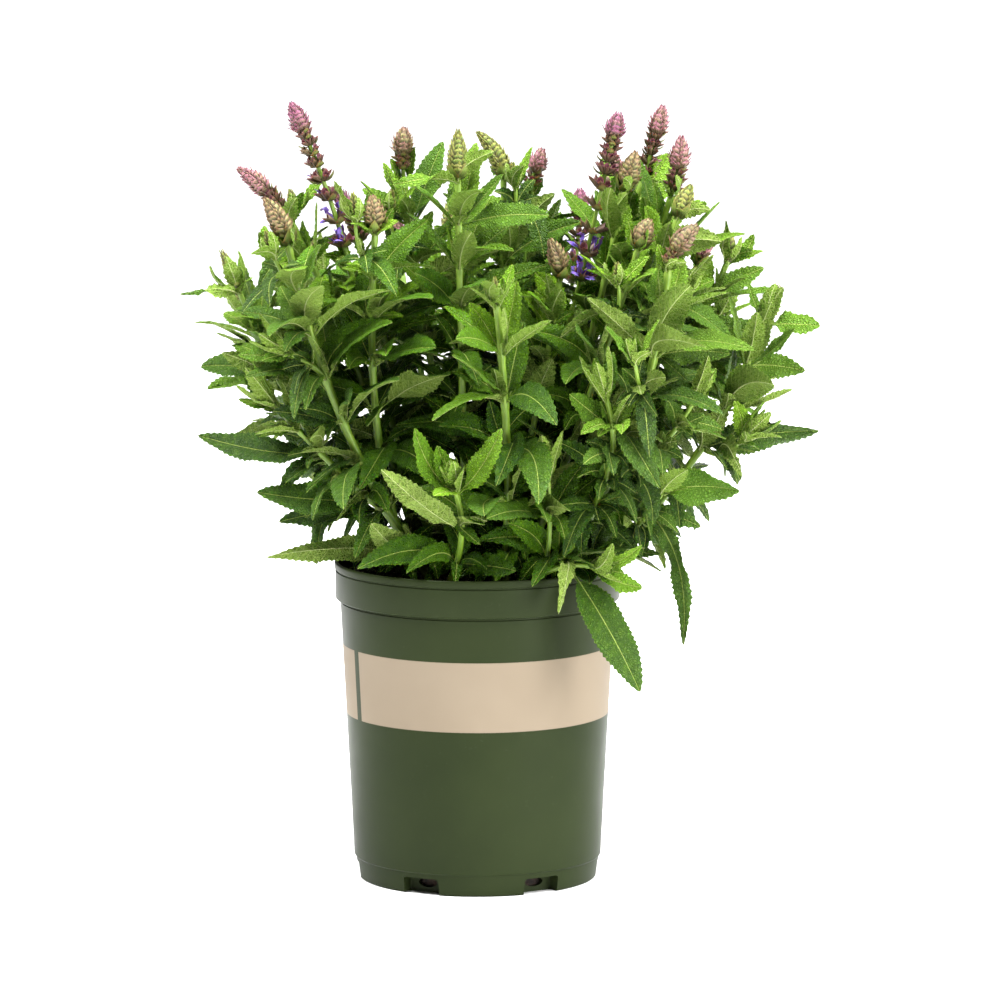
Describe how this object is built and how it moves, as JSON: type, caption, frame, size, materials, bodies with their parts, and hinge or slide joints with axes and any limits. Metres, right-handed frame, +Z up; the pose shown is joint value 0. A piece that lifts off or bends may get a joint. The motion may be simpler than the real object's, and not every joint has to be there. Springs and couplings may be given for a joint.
{
  "type": "potted perennial",
  "caption": "Bushy sage-like perennial with toothed leaves and flower spikes, from tight bud to open bloom, growing in a round ribless nursery pot filled with potting mix.",
  "frame": {"origin": "middle of the pot's underside, on the surface it stands on", "axes": "+Z up along the pot's axis, -Y towards the front of the plant, +X to the right as seen from the front"},
  "size_m": [0.366, 0.2768, 0.4486],
  "materials": {
    "pot_plastic": "satin",
    "potting_mix": "matte",
    "foliage": "matte",
    "spike_green": "matte",
    "spike_blush": "matte",
    "spike_pink": "matte",
    "spike_violet": "matte"
  },
  "bodies": {
    "root": {"nursery_pot": "pot_plastic", "potting_mix": "potting_mix", "stem_left_bloom": "foliage", "stem_left_pink": "foliage", "stem_left_front": "foliage", "stem_left_outer": "foliage", "stem_left_twin": "foliage", "stem_left_violet": "foliage", "stem_centre_pink": "foliage", "stem_centre_green": "foliage", "stem_centre_front": "foliage", "stem_centre_leaning": "foliage", "stem_centre_back_pink": "foliage", "stem_right_small_bud": "foliage", "stem_right_bloom": "foliage", "stem_right_back_magenta": "foliage", "stem_right_green": "foliage", "stem_right_pink": "foliage", "stem_right_outer_pink": "foliage", "stem_right_low_green": "foliage", "stem_right_tan": "foliage", "stem_right_front": "foliage", "stem_right_blush": "foliage", "stem_right_back_green": "foliage", "stem_right_outer": "foliage", "stem_front_young": "foliage", "stem_front_small": "foliage", "stem_front_runner": "foliage", "stem_back_left": "foliage", "stem_back_left_pink": "foliage", "stem_back_middle": "foliage", "stem_back_right_bloom": "foliage", "stem_back_right": "foliage", "stem_left_low_back": "foliage", "stem_right_low_back": "foliage", "stem_back_upper": "foliage", "stem_back_upper_right": "foliage", "spike_left_bloom": "spike_violet", "spike_left_pink": "spike_pink", "spike_left_front": "spike_blush", "spike_left_twin": "spike_blush", "spike_left_violet": "spike_violet", "spike_centre_pink": "spike_blush", "spike_centre_green": "spike_green", "spike_centre_leaning": "spike_green", "spike_centre_back_pink": "spike_pink", "spike_right_small_bud": "spike_blush", "spike_right_bloom": "spike_violet", "spike_right_back_magenta": "spike_pink", "spike_right_green": "spike_blush", "spike_right_pink": "spike_pink", "spike_right_outer_pink": "spike_pink", "spike_right_low_green": "spike_green", "spike_right_tan": "spike_blush", "spike_right_front": "spike_pink", "spike_right_blush": "spike_pink", "spike_back_left_pink": "spike_pink", "spike_back_middle": "spike_blush", "spike_back_right_bloom": "spike_violet", "spike_back_upper": "spike_green"}
  },
  "joints": []
}
